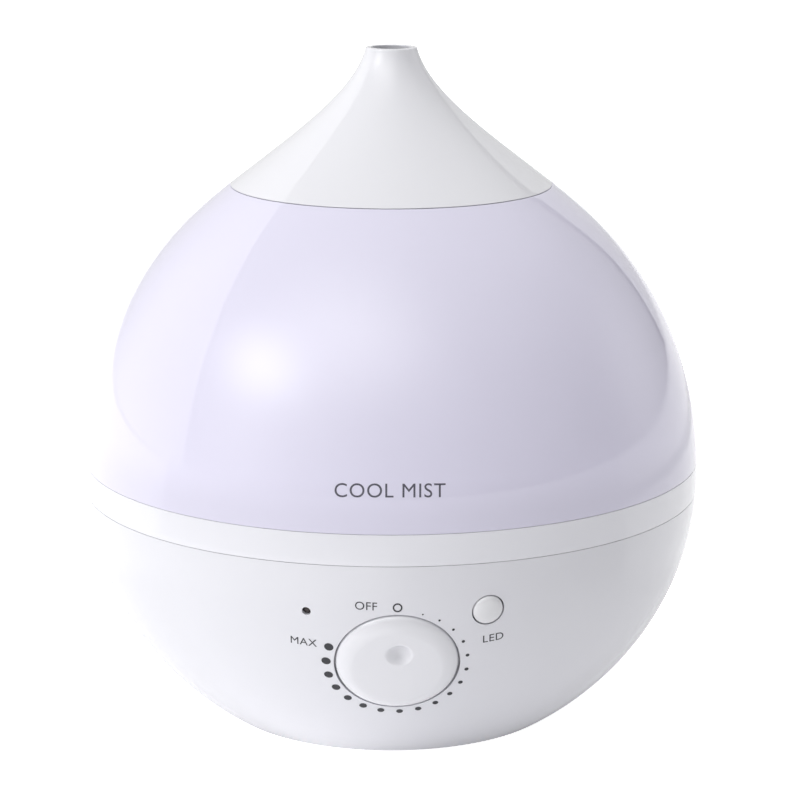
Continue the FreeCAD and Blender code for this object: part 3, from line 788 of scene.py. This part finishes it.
def stage():
    """White floor for the eye, and a soft bounce card under it for the light."""
    stage_sheet("floor", 0.0, True)
    tree, bsdf = stage_sheet("bounce", -BOUNCE_DROP, False)
    coords = tree.nodes.new("ShaderNodeTexCoord")
    split = tree.nodes.new("ShaderNodeSeparateXYZ")
    tree.links.new(coords.outputs["Object"], split.inputs[0])
    x = split.outputs["X"]
    y = split.outputs["Y"]
    reach = calc(tree, "SQRT", calc(tree, "ADD", product(tree, x, x), product(tree, y, y)))
    left = fade(tree, x, 0.03, -0.03)
    back = fade(tree, y, -0.054, -0.046)
    sides = {"left": left, "right": calc(tree, "SUBTRACT", 1.0, left)}
    depths = {"back": back, "front": calc(tree, "SUBTRACT", 1.0, back)}
    glow = 0.0
    for inner, outer, side, depth, strength in BOUNCE:
        edge = fade(tree, reach, outer + BOUNCE_BLUR, outer - BOUNCE_BLUR)
        patch = product(tree, sides[side], depths[depth], edge)
        if inner > 0:
            patch = product(tree, patch, fade(tree, reach, inner - BOUNCE_BLUR, inner + BOUNCE_BLUR))
        glow = calc(tree, "ADD", product(tree, patch, strength), glow)
    tree.links.new(glow, bsdf.inputs["Emission Strength"])


def world():
    """Soft room light: a white wall on the left and behind, soft lamps and a bright ceiling."""
    scene = bpy.context.scene
    scene.view_settings.view_transform = "Standard"
    scene.world = bpy.data.worlds.new("studio")
    scene.world.use_nodes = True
    scene.world.cycles.sampling_method = "MANUAL"
    scene.world.cycles.sample_map_resolution = 1024
    tree = scene.world.node_tree
    backdrop = tree.nodes["Background"]
    vector = tree.nodes.new("ShaderNodeTexCoord").outputs["Generated"]
    split = tree.nodes.new("ShaderNodeSeparateXYZ")
    tree.links.new(vector, split.inputs[0])
    x, y, z = split.outputs
    side = calc(tree, "ABSOLUTE", x)

    # The left wall's front edge leans back as it rises
    lean = calc(tree, "ADD", product(tree, y, side), product(tree, x, x, 0.12))
    lean = calc(tree, "SUBTRACT", lean, product(tree, z, z, 0.45))
    left = product(tree, fade(tree, lean, -0.004, 0.004), fade(tree, x, 0.0, -0.01))

    # The back wall starts past a line from the object to the right
    corner = calc(tree, "SUBTRACT", product(tree, y, 0.66), x)
    low_sky = fade(tree, calc(tree, "SUBTRACT", y, z), -0.05, 0.05)
    behind = product(tree, fade(tree, corner, -0.005, 0.005), low_sky, fade(tree, y, 0.0, 0.05))
    wall = calc(tree, "MAXIMUM", left, behind)
    rear = fade(tree, calc(tree, "SUBTRACT", y, side), -0.4, 0.4)
    paint = calc(tree, "SUBTRACT", WALL_LIGHT, product(tree, rear, WALL_FALL))

    # Lamps show only in the open sky, and a dark strip parts them from the back wall
    open_sky = calc(tree, "SUBTRACT", 1.0, wall)
    strip = fade(tree, calc(tree, "ABSOLUTE", corner), 0.08, 0.04)
    strip = product(tree, strip, fade(tree, y, 0.1, 0.2))
    open_sky = product(tree, open_sky, calc(tree, "SUBTRACT", 1.0, strip))

    overhead = calc(tree, "POWER", calc(tree, "MAXIMUM", z, 0.0), 2.0)
    total = calc(tree, "ADD", product(tree, overhead, SKY), product(tree, wall, paint))
    key = product(tree, soft_lamp(tree, vector, *KEY_GLOW[:4]), KEY_GLOW[4])
    total = calc(tree, "ADD", total, key)
    for azimuth, elevation, width, height, strength in LAMPS:
        lamp = soft_lamp(tree, vector, azimuth, elevation, width, height)
        total = calc(tree, "ADD", total, product(tree, lamp, strength, open_sky))

    # The eye sees a plain white backdrop; only the object sees the wall and the lamps
    seen = tree.nodes.new("ShaderNodeLightPath").outputs["Is Camera Ray"]
    hidden = product(tree, total, calc(tree, "SUBTRACT", 1.0, seen))
    tree.links.new(calc(tree, "ADD", hidden, seen), backdrop.inputs["Strength"])
    backdrop.inputs["Color"].default_value = (1, 1, 1, 1)


def camera():
    data = bpy.data.cameras.new("camera")
    data.lens = FOCAL_PIXELS / IMAGE_WIDTH * SENSOR
    data.sensor_width = SENSOR
    data.shift_x = SHIFT_X
    obj = link_object("camera", data)
    tilt = math.radians(CAMERA_TILT)
    turn = math.radians(CAMERA_TURN)
    back = Vector((
        -math.sin(turn) * math.cos(tilt),
        -math.cos(turn) * math.cos(tilt),
        math.sin(tilt),
    ))
    obj.location = Vector(TARGET) + back
    obj.rotation_euler = (-back).to_track_quat("-Z", "Y").to_euler()
    bpy.context.scene.camera = obj


# ---------------------------------------------------------------- build

for part in frame["record"]["subparts"]:
    if part["node"] in NODES:
        give(NODES[part["node"]], SLOT_MATERIALS[part["material_slot"]])

for piece, finish, slot in [
    (nozzle_cap(), WHITE, "cap_plastic"),
    (tank(), LILAC, "tank_plastic"),
    (ring(), RING, "base_plastic"),
    (bowl(), BASE, "base_plastic"),
    (knob(), KNOB, "base_plastic"),
    (button(), BUTTON, "button_plastic"),
    (indicator(), LENS, "indicator_plastic"),
    (closing_spring(), STEEL, "steel"),
]:
    give(piece, finish)

for ink in [dial_marks(), *labels()]:
    give(ink, INK)
give(front_words(), FRONT_INK)

stage()
world()
camera()
